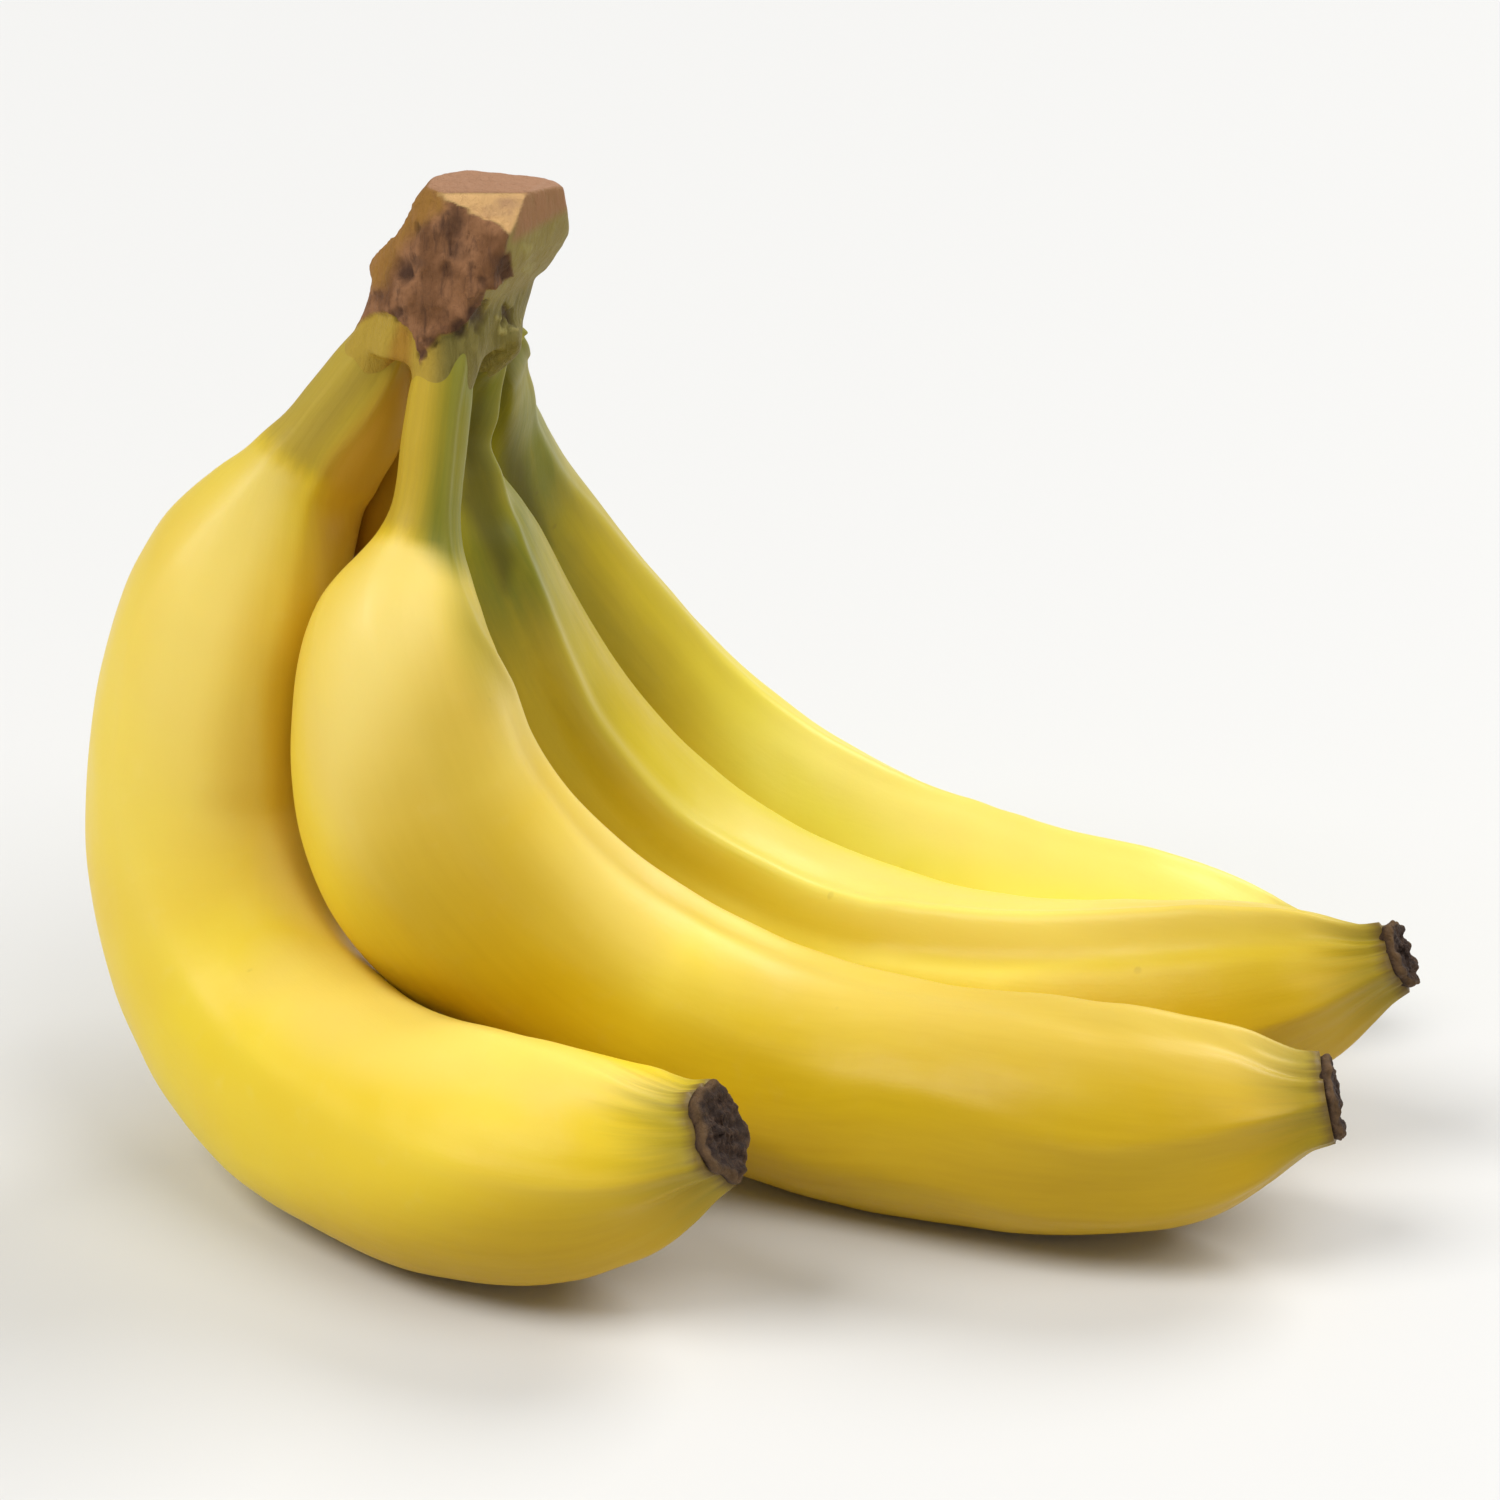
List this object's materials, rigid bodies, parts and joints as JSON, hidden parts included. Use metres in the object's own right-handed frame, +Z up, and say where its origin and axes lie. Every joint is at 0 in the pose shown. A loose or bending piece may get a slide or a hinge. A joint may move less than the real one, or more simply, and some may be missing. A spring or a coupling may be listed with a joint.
{
  "type": "bunch of bananas",
  "caption": "Hand of ripe yellow bananas joined at a cut brown crown, lying on a table with the crown up and the fruits fanned out, each with a dried blossom end.",
  "frame": {"origin": "on the table, under the middle of the bunch's bounding box", "axes": "+X is the longest extent, from the crown side towards the fruit tips; +Z is up; the viewer of the picture stands towards -Y"},
  "size_m": [0.2186, 0.1684, 0.161],
  "materials": {
    "peel": "smooth ripe banana peel with a soft waxy sheen, greener near the stalk and the tip",
    "crown_skin": "dry, rough, torn brown skin with pale knife cuts",
    "dried_blossom_end": "dry, dark, matt and wrinkled"
  },
  "bodies": {
    "root": {"crown": "crown_skin", "banana_1": "peel", "banana_2": "peel", "banana_3": "peel", "banana_4": "peel", "blossom_end_1": "dried_blossom_end", "blossom_end_2": "dried_blossom_end", "blossom_end_3": "dried_blossom_end", "blossom_end_4": "dried_blossom_end"}
  },
  "joints": []
}
